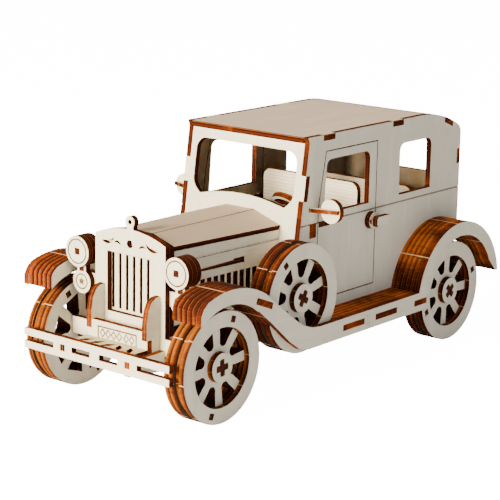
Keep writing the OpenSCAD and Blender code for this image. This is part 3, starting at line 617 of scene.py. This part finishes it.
def edge_of(node: str, axis: int, end: int = 0) -> float:
    """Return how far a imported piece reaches.

    Args:
        node: The piece's name.
        axis: 0, 1 or 2 for X, Y or Z.
        end: 0 for its lowest value, 1 for its highest.

    Returns:
        The value in millimetres.
    """
    return float(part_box(node)[end][axis]) / MM


# --- The car's sub-assemblies -------------------------------------------------


@dataclass
class SubAssembly:
    """Pieces of the car that are dressed together."""

    name: ClassVar[str] = "piece"

    def finishes(self) -> dict[str, Finish]:
        """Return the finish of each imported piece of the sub-assembly."""
        return {}

    def meshes(self) -> list[bpy.types.Object]:
        """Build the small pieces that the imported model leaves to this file."""
        return []

    def build(self) -> None:
        """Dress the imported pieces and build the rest."""
        for node, finish in self.finishes().items():
            self.dress(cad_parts[node], finish)
            log.info("%s: %s dressed", self.name, node)
        for piece in self.meshes():
            log.info("%s: %s built", self.name, piece.name)

    @staticmethod
    def dress(piece: bpy.types.Object, finish: Finish) -> None:
        """Give a piece one material, made for it alone.

        Args:
            piece: The piece to dress.
            finish: The finish that makes the material.
        """
        material = finish.build(f"{piece.name}_finish")
        piece.data.materials.clear()
        piece.data.materials.append(material)


@dataclass
class Chassis(SubAssembly):
    """The floor and the rails under the body.

    Attributes:
        floor_underside: The height of the floor's lower face.
    """

    name: ClassVar[str] = "chassis"
    floor_underside: float = 27.8

    def finishes(self) -> dict[str, Finish]:
        """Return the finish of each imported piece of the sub-assembly."""
        return {
            "floor_plate": Plywood((Sheet(Z),), Grain.ALONG, start=self.floor_underside),
            "chassis_rails": Plywood((Sheet(X),), Grain.ALONG, char=0.5),
            "chassis_crossmembers": Plywood((Sheet(Y),), Grain.ACROSS),
        }


@dataclass
class Nose(SubAssembly):
    """The upright sheets before the hood: bumper, grille, lamps and number plate.

    Attributes:
        apron_underside: The height of the lower face of the apron behind the bumper.
        engraved: The depth of an engraved line.
        lamp_foot_z: The height of the small lamp's centre.
        star_r: The radius of the star on the small lamp.
        star_line: The width of the line that draws it.
        star_t: How far it stands proud of the lamp.
        star_sunk: How far it reaches into the lamp.
        star_points: How many points it has.
        star_waist: The radius of its inner corners, as a share of star_r.
        star_narrow: How much thinner its line is at the inner corners, as a share.
        star_burn: The bright and the dark colour of its line.
        lit_cream: The colour of the veneer on the upright sheets, paler and yellower than the plain veneer:
            painted light from the front lamp.
        lit_grain_and_apron_shade: The colour of its grain lines, paler as part of the same painted light;
            also the apron's veneer, darker than the plain veneer as painted shade.
    """

    name: ClassVar[str] = "nose"
    apron_underside: float = 29.8
    engraved: float = 0.4
    lamp_foot_z: float = 55.1
    star_r: float = 2.5
    star_line: float = 0.42
    star_t: float = 0.06
    star_sunk: float = 0.02
    star_points: int = 5
    star_waist: float = 0.46
    star_narrow: float = 0.75
    star_burn: tuple[Triple, Triple] = ((0.30, 0.12, 0.035), (0.14, 0.045, 0.012))
    lit_cream: Triple = (0.82, 0.735, 0.53)
    lit_grain_and_apron_shade: Triple = (0.68, 0.54, 0.33)

    def _upright(self, node: str, grain: Grain = Grain.UP, char: float = 0.6) -> Plywood:
        """Return the finish of one sheet that stands across the car, with its line work."""
        front = edge_of(node, 1)
        groove = (Y, abs(front + self.engraved))
        # The upright sheets get the paler veneer: painted light from the front lamp.
        return Plywood(
            (Sheet(Y),), grain, start=front, char=char, groove=groove, veneer=self.lit_cream, streak=self.lit_grain_and_apron_shade
        )

    def finishes(self) -> dict[str, Finish]:
        """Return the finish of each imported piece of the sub-assembly."""
        return {
            "front_bumper": self._upright("front_bumper", Grain.ACROSS),
            "number_plate": self._upright("number_plate", Grain.ACROSS),
            "grille_frame": self._upright("grille_frame", char=1.0),
            "grille_bars": self._upright("grille_bars", char=1.5),
            "front_wing_plates": self._upright("front_wing_plates", Grain.ACROSS, 0.5),
            "lamp_brackets": self._upright("lamp_brackets", char=1.0),
            "headlight_left": self._upright("headlight_left", char=1.0),
            "headlight_right": self._upright("headlight_right", char=1.0),
            # The apron's veneer takes the darker grain colour: painted shade for the shadow behind the
            # bumper.
            "bumper_apron": Plywood(
                (Sheet(Z),), Grain.ACROSS, start=self.apron_underside, char=1.1, veneer=self.lit_grain_and_apron_shade
            ),
            "bumper_irons": Plywood((Sheet(X),), Grain.ALONG),
            "lamp_pins": Charred(),
        }

    def meshes(self) -> list[bpy.types.Object]:
        """Build the small star on each lower lamp."""
        half = (edge_of("headlight_left", 0) + edge_of("headlight_left", 0, 1)) / 2.0
        face = edge_of("lamp_brackets", 1)
        return [
            self._star("lamp_star_left", half, face),
            self._star("lamp_star_right", -half, face),
        ]

    def _star(self, name: str, x: float, y: float) -> bpy.types.Object:
        """Build one star outline, a thin ring that follows its corners.

        Args:
            name: The piece's name.
            x: Its centre across the car, in millimetres.
            y: The lamp face that it lies on, in millimetres.

        Returns:
            The piece, riding on the car's body.
        """
        mesh = bmesh.new()
        rings: list[list[Any]] = []
        corners = 2 * self.star_points
        for depth in (self.star_sunk, -self.star_t):
            for inset in (0.0, self.star_line):
                ring = []
                for i in range(corners):
                    if i % 2 == 0:
                        radius = self.star_r - inset
                    else:
                        radius = self.star_r * self.star_waist - inset * self.star_narrow
                    turn = math.pi * i / self.star_points
                    px, pz = x + radius * math.sin(turn), self.lamp_foot_z + radius * math.cos(turn)
                    ring.append(mesh.verts.new((px * MM, (y + depth) * MM, pz * MM)))
                rings.append(ring)
        back_out, back_in, front_out, front_in = rings
        for a, b in ((front_out, front_in), (front_in, back_in), (back_in, back_out), (back_out, front_out)):
            for i in range(corners):
                j = (i + 1) % corners
                mesh.faces.new((a[i], a[j], b[j], b[i]))
        bmesh.ops.recalc_face_normals(mesh, faces=mesh.faces)
        data = bpy.data.meshes.new(name)
        mesh.to_mesh(data)
        mesh.free()
        piece = bpy.data.objects.new(name, data)
        bpy.context.collection.objects.link(piece)
        self.dress(piece, Charred(*self.star_burn))
        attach(piece, "car_body")
        return piece


@dataclass
class Hood(SubAssembly):
    """The five sheets of the hood and the formers inside it.

    Attributes:
        slope: How far the sloping sheets lean from level, in degrees.
        taper: How far the side sheets turn in towards the grille, in degrees.
        tan_painted_light: The colour of the veneer on the upper sheets, darker and warmer than the plain
            veneer: painted light and shade from the dim warm lamp above.
        lit_cream: The colour of the veneer on the side sheets, paler than the plain veneer: painted light.
        shade: The colour of the formers: painted shade, for the dark that they lie in under the hood.
        cut_only: A sheet that no piece fills, for a piece that shows only its cut edges.
    """

    name: ClassVar[str] = "hood"
    slope: float = 17.22
    taper: float = 2.94
    tan_painted_light: Triple = (0.53, 0.405, 0.275)
    lit_cream: Triple = (0.88, 0.80, 0.64)
    shade: Triple = (0.035, 0.012, 0.005)
    cut_only: Sheet = Sheet(Z, (0, 0, 900), (1, 1, 901))

    def finishes(self) -> dict[str, Finish]:
        """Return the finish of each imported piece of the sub-assembly."""
        slope = Sheet(tilted(self.slope, 2, 0))
        side = Sheet(tilted(-self.taper, 0, 1))
        return {
            # The upper sheets get the darker, warmer veneer: painted light and shade from above.
            "hood_top": Plywood((Sheet(Z),), Grain.ALONG, veneer=self.tan_painted_light, char=1.0),
            "hood_slope_left": Plywood((slope,), Grain.ALONG, veneer=self.tan_painted_light, char=1.0),
            "hood_slope_right": Plywood((mirrored(slope),), Grain.ALONG, veneer=self.tan_painted_light, char=1.0),
            # The side sheets get the paler veneer: painted light.
            "hood_side_left": Plywood((side,), Grain.ALONG, veneer=self.lit_cream, char=1.0),
            "hood_side_right": Plywood((mirrored(side),), Grain.ALONG, veneer=self.lit_cream, char=1.0),
            "hood_spears": Plywood((self.cut_only,), Grain.ALONG, char=0.9),
            # The formers' veneer and grain are painted shade, dark as the inside of the hood.
            "hood_formers": Plywood(
                (Sheet(Y),), Grain.ACROSS, veneer=self.shade, streak=self.shade, char=1.2
            ),
        }


@dataclass
class Cabin(SubAssembly):
    """The body shell, its doors and what is inside.

    Attributes:
        lean: How far the windshield leans from upright, in degrees.
        roof_bend: Where the roof starts to curve down, along Y.
        roof_half: More than half the width of the roof.
        roof_leans: How far the sheets that stand for the curve lean, in degrees.
        seat_x: The inner and outer side of a front seat.
        seat_back: The front face of the back sheet of a front seat.
        bench_half: Half the width of the rear seat.
        bench_back: The front face of the back sheet of the rear seat.
        seat_top: The top of a seat's legs, and the bottom and top of its cushion sheet.
        seat_lines: The distance between the fine lines on a seat.
        shelf: The bottom and top of the dashboard's level sheet.
        cowl_half: Half the width of the sheet that stands on it.
        line_floor: How far from the middle the floor of the engraved body lines lies.
        side_shade_bound: How far from the middle the painted shade on the inner faces of the sides ends.
        back_shade_bound: How far along Y the painted shade on the inner face of the back ends.
        column_tilt: How far the steering column leans from level, in degrees.
        roof_tan_painted_light: The colour of the roof's veneer, warmer and a little darker than the plain
            veneer: painted light from the dim warm lamp above.
        padded: The colour of the seats' veneer.
        worn: The colour of its grain lines.
        belt: The colour of the engraved line round the body.
        lit_cream: The colour of the windshield frame's veneer, paler than the plain veneer: painted light
            from the front lamp.
    """

    name: ClassVar[str] = "cabin"
    lean: float = 8.1
    roof_bend: float = 175.0
    roof_half: float = 40.0
    roof_leans: tuple[float, ...] = (20.0, 45.0, 70.0)
    seat_x: tuple[float, float] = (5.0, 31.0)
    seat_back: float = 129.0
    bench_half: float = 33.0
    bench_back: float = 175.0
    seat_top: Triple = (49.9, 49.5, 53.5)
    seat_lines: float = 1.8
    shelf: tuple[float, float] = (77.2, 80.1)
    cowl_half: float = 9.0
    line_floor: float = 38.6
    side_shade_bound: float = 37.0
    back_shade_bound: float = 211.0
    column_tilt: float = 45.0
    roof_tan_painted_light: Triple = (0.70, 0.555, 0.42)
    padded: Triple = (0.78, 0.68, 0.49)
    worn: Triple = (0.50, 0.37, 0.22)
    belt: Triple = (0.30, 0.21, 0.14)
    lit_cream: Triple = (0.80, 0.72, 0.54)

    def _roof(self) -> tuple[Sheet, ...]:
        """Return the roof's level sheet and its curve, as sheets that lean more and more."""
        low, high = (-self.roof_half, self.roof_bend, 0.0), (self.roof_half, FAR, FAR)
        leans = [Sheet(tilted(angle, 2, 1), low, high) for angle in self.roof_leans]
        return (Sheet(Z), *leans, Sheet(Y, low, high))

    def _seat(self, x0: float, x1: float, back: float) -> tuple[Sheet, ...]:
        """Return a seat's leg, cushion and back sheets.

        Args:
            x0: Its lowest place across the car.
            x1: Its highest place across the car.
            back: The front face of its back sheet.

        Returns:
            The three kinds of sheet.
        """
        legs, bottom, top = self.seat_top
        return (
            Sheet(X, (x0, -FAR, 0), (x1, back, legs)),
            Sheet(Z, (x0, -FAR, bottom), (x1, back, top)),
            Sheet(Y, (x0 - 1, back - 0.5, 0), (x1 + 1, FAR, FAR)),
        )

    def _seat_finish(self, x0: float, x1: float, back: float) -> Plywood:
        """Return the finish of one seat, with fine level lines on it."""
        sheets = self._seat(x0, x1, back)
        return Plywood(
            sheets, Grain.ACROSS, veneer=self.padded, streak=self.worn, ribs=self.seat_lines
        )

    def finishes(self) -> dict[str, Finish]:
        """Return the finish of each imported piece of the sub-assembly."""
        inner, outer = self.seat_x
        half = self.bench_half
        lined = Plywood(
            (Sheet(X),),
            Grain.UP,
            groove=(X, self.line_floor),
            line=self.belt,
            char=0.9,
            inner_shade_bound=(X, self.side_shade_bound),
        )
        under, over = self.shelf
        dash = (
            Sheet(Y, (-FAR, 0, 0), (FAR, FAR, under)),
            Sheet(Z, (-FAR, 0, under), (FAR, FAR, over)),
            Sheet(Y, (-self.cowl_half, 0, over), (self.cowl_half, FAR, FAR)),
        )
        column = (Sheet(tilted(self.column_tilt, 1, 2)),)
        return {
            # The windshield frame gets the paler veneer: painted light.
            "windshield_frame": Plywood(
                (Sheet(tilted(-self.lean, 1, 2)),), Grain.UP, veneer=self.lit_cream, char=0.75
            ),
            "dashboard": Plywood(dash, Grain.ACROSS),
            "steering_column": Plywood(column, Grain.UP),
            "steering_wheel": Plywood(column, Grain.ACROSS),
            "front_seat_left": self._seat_finish(inner, outer, self.seat_back),
            "front_seat_right": self._seat_finish(-outer, -inner, self.seat_back),
            "rear_seat": self._seat_finish(-half, half, self.bench_back),
            "side_panel_left": lined,
            "side_panel_right": lined,
            # The roof gets the warmer veneer: painted light from above.
            "roof_panel": Plywood(self._roof(), Grain.ALONG, veneer=self.roof_tan_painted_light, char=1.1),
            "back_panel": Plywood((Sheet(Y),), Grain.UP, inner_shade_bound=(Y, self.back_shade_bound)),
            "door_left": lined,
            "door_right": lined,
            "door_hinges_left": Charred(),
            "door_hinges_right": Charred(),
        }


@dataclass
class Fittings(SubAssembly):
    """The door handles and the mirrors.

    Attributes:
        grip_from: How far from the middle the grip plate of a handle starts.
        mirror_t: The thickness of a mirror disc, with a hair of play.
        lit_cream: The colour of the mirrors' veneer, paler than the plain veneer: painted light from the
            front lamp.
    """

    name: ClassVar[str] = "fittings"
    grip_from: float = 43.15
    mirror_t: float = 3.1
    lit_cream: Triple = (0.82, 0.74, 0.54)

    def finishes(self) -> dict[str, Finish]:
        """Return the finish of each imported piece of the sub-assembly."""
        grip = self.grip_from
        left = (Sheet(X, (grip, -FAR, 0), (FAR, FAR, FAR)), Sheet(Z, (0, -FAR, 0), (grip, FAR, FAR)))
        disc = edge_of("mirror_left", 1, 1) - self.mirror_t
        looking = (
            Sheet(Y, (-FAR, disc, 0), (FAR, FAR, FAR)),
            Sheet(Z, (-FAR, 0, 0), (FAR, disc, FAR)),
        )
        base = Plywood((Sheet(X),), Grain.UP, char=0.9)
        return {
            "handle_base_left": base,
            "handle_base_right": base,
            "door_handle_left": Plywood(left, Grain.ALONG, char=0.9),
            "door_handle_right": Plywood(tuple(mirrored(s) for s in left), Grain.ALONG, char=0.9),
            # The mirrors get the paler veneer: painted light.
            "mirror_left": Plywood(looking, Grain.UP, veneer=self.lit_cream, char=0.4),
            "mirror_right": Plywood(looking, Grain.UP, veneer=self.lit_cream, char=0.4),
        }


@dataclass
class Fenders(SubAssembly):
    """The outer plates and the stacked layers of the fenders and running boards.

    Attributes:
        front_centre: The middle of the front fender's arc, in Y and Z.
        rear_centre: The middle of the rear fender's arc, in Y and Z.
        tie_turn: How far the ties under the front fenders lean, in degrees.
        lit: The bright colour of the rear fenders' edges.
    """

    name: ClassVar[str] = "fenders"
    front_centre: tuple[float, float] = (-1.0, 17.6)
    rear_centre: tuple[float, float] = (189.5, 27.0)
    tie_turn: float = -22.0
    lit: Triple = (0.52, 0.115, 0.009)

    def finishes(self) -> dict[str, Finish]:
        """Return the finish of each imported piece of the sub-assembly."""
        one = (Sheet(X),)
        front, rear = self.front_centre, self.rear_centre
        out: dict[str, Finish] = {}
        for side in ("left", "right"):
            out[f"fender_front_{side}"] = Plywood(one, Grain.ALONG, marks=front)
            out[f"fender_rear_{side}"] = Plywood(one, Grain.ALONG, marks=rear)
            out[f"front_fender_plies_{side}"] = Plywood(
                one, Grain.ALONG, stacked=True, marks=front, char=0.45
            )
            out[f"running_board_plies_{side}"] = Plywood(
                one, Grain.ALONG, stacked=True, marks=rear, char=0.35, char_and_painted_shade=0.65, warm=self.lit
            )
        out["fender_ties"] = Plywood((Sheet(tilted(self.tie_turn, 2, 1)),), Grain.ACROSS)
        return out


@dataclass
class Wheels(SubAssembly):
    """The road wheels, the spare wheel and the axles.

    Attributes:
        axle_z: The height of both axles.
        wheelbase: Where the rear axle lies, along Y.
        spare_centre: The middle of the spare wheel, in Y and Z.
        front_tread_painted_light: The bright colour of the front wheels' treads: painted light, as they face
            the front lamp.
        tread_char_and_shade: How dark each tread gets towards its outer side, from 0 to 1: partly char,
            partly painted shade.
    """

    name: ClassVar[str] = "wheels"
    axle_z: float = 27.0
    wheelbase: float = 190.0
    spare_centre: tuple[float, float] = (57.1, 49.3)
    front_tread_painted_light: Triple = (0.30, 0.070, 0.0015)
    tread_char_and_shade: float = 0.9

    def _wheel(
        self, start: float, char: float, marks: tuple[float, float], warm: Triple = Plywood.warm
    ) -> Plywood:
        """Return the finish of a stacked wheel.

        Args:
            start: The outer face of its outermost sheet.
            char: How heavily its treads are singed.
            marks: Its centre, in Y and Z.
            warm: The bright colour of its treads.

        Returns:
            The finish.
        """
        return Plywood(
            (Sheet(X),),
            Grain.UP,
            start=start,
            stacked=True,
            char=char,
            char_and_painted_shade=self.tread_char_and_shade,
            warm=warm,
            marks=marks,
            hollow=Hollow(),
        )

    def finishes(self) -> dict[str, Finish]:
        """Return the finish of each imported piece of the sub-assembly."""
        face, spare = edge_of("front_wheels", 0, 1), edge_of("spare_wheel", 0, 1)
        out: dict[str, Finish] = {
            # The front wheels' treads get a brighter colour and lighter char than the rear ones: painted
            # light from the front lamp.
            "front_wheels": self._wheel(face, 0.25, (0.0, self.axle_z), self.front_tread_painted_light),
            "rear_wheels": self._wheel(face, 0.6, (self.wheelbase, self.axle_z)),
            "spare_wheel": self._wheel(spare, 0.75, self.spare_centre),
        }
        axles = ("front_axle", "rear_axle", "spare_spindle")
        pins = ("front_wheel_pins", "rear_wheel_pins", "spare_wheel_pins")
        for node in (*axles, *pins):
            out[node] = Charred()
        return out


# --- Studio -----------------------------------------------------------------


@dataclass
class Studio:
    """A pale floor, soft lights and one camera.

    Attributes:
        azimuth: How far the camera stands round from the car's nose, in degrees.
        elevation: How far it looks down, in degrees.
        roll: How far it leans to the side, in degrees.
        lens: Its focal length, in millimetres.
        sensor: The width of its sensor, in millimetres.
        place: Where it stands, in metres.
        floor_size: The side of the floor, in metres.
        floor_tint: The floor's colour.
        floor_white: How bright the floor is to the camera.
        air_white: How bright the air is to the camera.
        air_dim: How bright the air is as a light on the car.
        air_tint: The colour of that light.
    """

    azimuth: float = 39.306
    elevation: float = 13.581
    roll: float = 1.013
    lens: float = 127.18
    sensor: float = 36.0
    place: Triple = (0.55305, -0.59498, 0.27123)
    floor_size: float = 30.0
    floor_tint: Triple = (0.95, 0.95, 0.95)
    floor_white: float = 15.0
    air_white: float = 16.0
    air_dim: float = 0.15
    air_tint: Triple = (0.88, 0.94, 1.0)

    def build(self) -> None:
        """Make everything that isn't part of the car."""
        self._floor()
        self._lights()
        self._camera()

    def _floor(self) -> None:
        """Make the floor and the pale air round it."""
        bpy.ops.mesh.primitive_plane_add(size=self.floor_size, location=(0.0, 0.0, 0.0))
        floor = bpy.context.active_object
        floor.name = "studio_floor"
        graph = Graph("studio_floor_paper")
        shader = graph.add(
            "ShaderNodeBsdfPrincipled",
            {},
            {"Base Color": self.floor_tint, "Roughness": 0.9, "Specular IOR Level": 0.1},
        )
        glow = {"Color": (1.0, 1.0, 1.0), "Strength": self.floor_white}
        white = graph.add("ShaderNodeEmission", {}, glow)
        seen = graph.add("ShaderNodeLightPath", {}, {}).outputs["Is Camera Ray"]
        lit = graph.add("ShaderNodeAddShader", {}, {0: shader.outputs[0], 1: white.outputs[0]})
        mixed = graph.add(
            "ShaderNodeMixShader", {}, {0: seen, 1: shader.outputs[0], 2: lit.outputs[0]}
        )
        graph.links.new(mixed.outputs[0], graph.output.inputs[0])
        floor.data.materials.append(graph.material)
        self._air()

    def _air(self) -> None:
        """Surround the scene with even air: white behind the car, dim as a light on it."""
        world = bpy.data.worlds.new("studio_air")
        world.use_nodes = True
        nodes, links = world.node_tree.nodes, world.node_tree.links
        dim = nodes["Background"]
        dim.inputs[0].default_value = (*self.air_tint, 1.0)
        dim.inputs[1].default_value = self.air_dim
        white = nodes.new("ShaderNodeBackground")
        white.inputs[1].default_value = self.air_white
        seen = nodes.new("ShaderNodeLightPath")
        mixed = nodes.new("ShaderNodeMixShader")
        links.new(seen.outputs["Is Camera Ray"], mixed.inputs[0])
        links.new(dim.outputs[0], mixed.inputs[1])
        links.new(white.outputs[0], mixed.inputs[2])
        links.new(mixed.outputs[0], nodes["World Output"].inputs[0])
        bpy.context.scene.world = world

    @staticmethod
    def _lamp(name: str, place: Triple, aim: Triple, size: float, power: float, tint: Triple) -> None:
        """Hang one soft square lamp.

        Args:
            name: The lamp's name.
            place: Where it hangs, in metres.
            aim: The point that it faces, in metres.
            size: The length of its side, in metres.
            power: Its power in watts.
            tint: The colour of its light.
        """
        data = bpy.data.lights.new(name, "AREA")
        data.shape = "SQUARE"
        data.size = size
        data.energy = power
        data.color = tint
        lamp = bpy.data.objects.new(name, data)
        bpy.context.collection.objects.link(lamp)
        lamp.location = place
        lamp.rotation_euler = (Vector(aim) - Vector(place)).to_track_quat("-Z", "Y").to_euler()

    def _lights(self) -> None:
        """Hang the lamps: a strong one before the car's nose, weak ones over it and beside it."""
        middle = (0.0, 0.08, 0.05)
        self._lamp("front_light", (-0.30, -1.75, 0.52), middle, 0.7, 145.0, (1.0, 0.93, 0.77))
        self._lamp("top_light", (0.1, 0.3, 1.5), middle, 0.9, 12.0, (1.0, 0.88, 0.74))
        self._lamp("side_light", (1.6, -0.1, 0.55), middle, 1.2, 6.5, (0.86, 0.94, 1.0))

    def _camera(self) -> None:
        """Set the camera."""
        az, el, ro = (math.radians(v) for v in (self.azimuth, self.elevation, self.roll))
        back = Vector((math.sin(az) * math.cos(el), -math.cos(az) * math.cos(el), math.sin(el)))
        level = Vector((math.cos(az), math.sin(az), 0.0))
        upright = back.cross(level)
        right = math.cos(ro) * level + math.sin(ro) * upright
        up = -math.sin(ro) * level + math.cos(ro) * upright
        data = bpy.data.cameras.new("studio_camera")
        data.sensor_width = self.sensor
        data.lens = self.lens
        data.clip_start = 0.05
        camera = bpy.data.objects.new("studio_camera", data)
        bpy.context.collection.objects.link(camera)
        turn = Matrix((right, up, back)).transposed()
        camera.matrix_world = Matrix.Translation(Vector(self.place)) @ turn.to_4x4()
        bpy.context.scene.camera = camera


def main() -> None:
    """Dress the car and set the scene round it."""
    logging.basicConfig(level=logging.INFO, format="%(name)s: %(message)s")
    for group in (Chassis(), Nose(), Hood(), Cabin(), Fittings(), Fenders(), Wheels()):
        group.build()
    Studio().build()


if __name__ == "__main__":
    main()
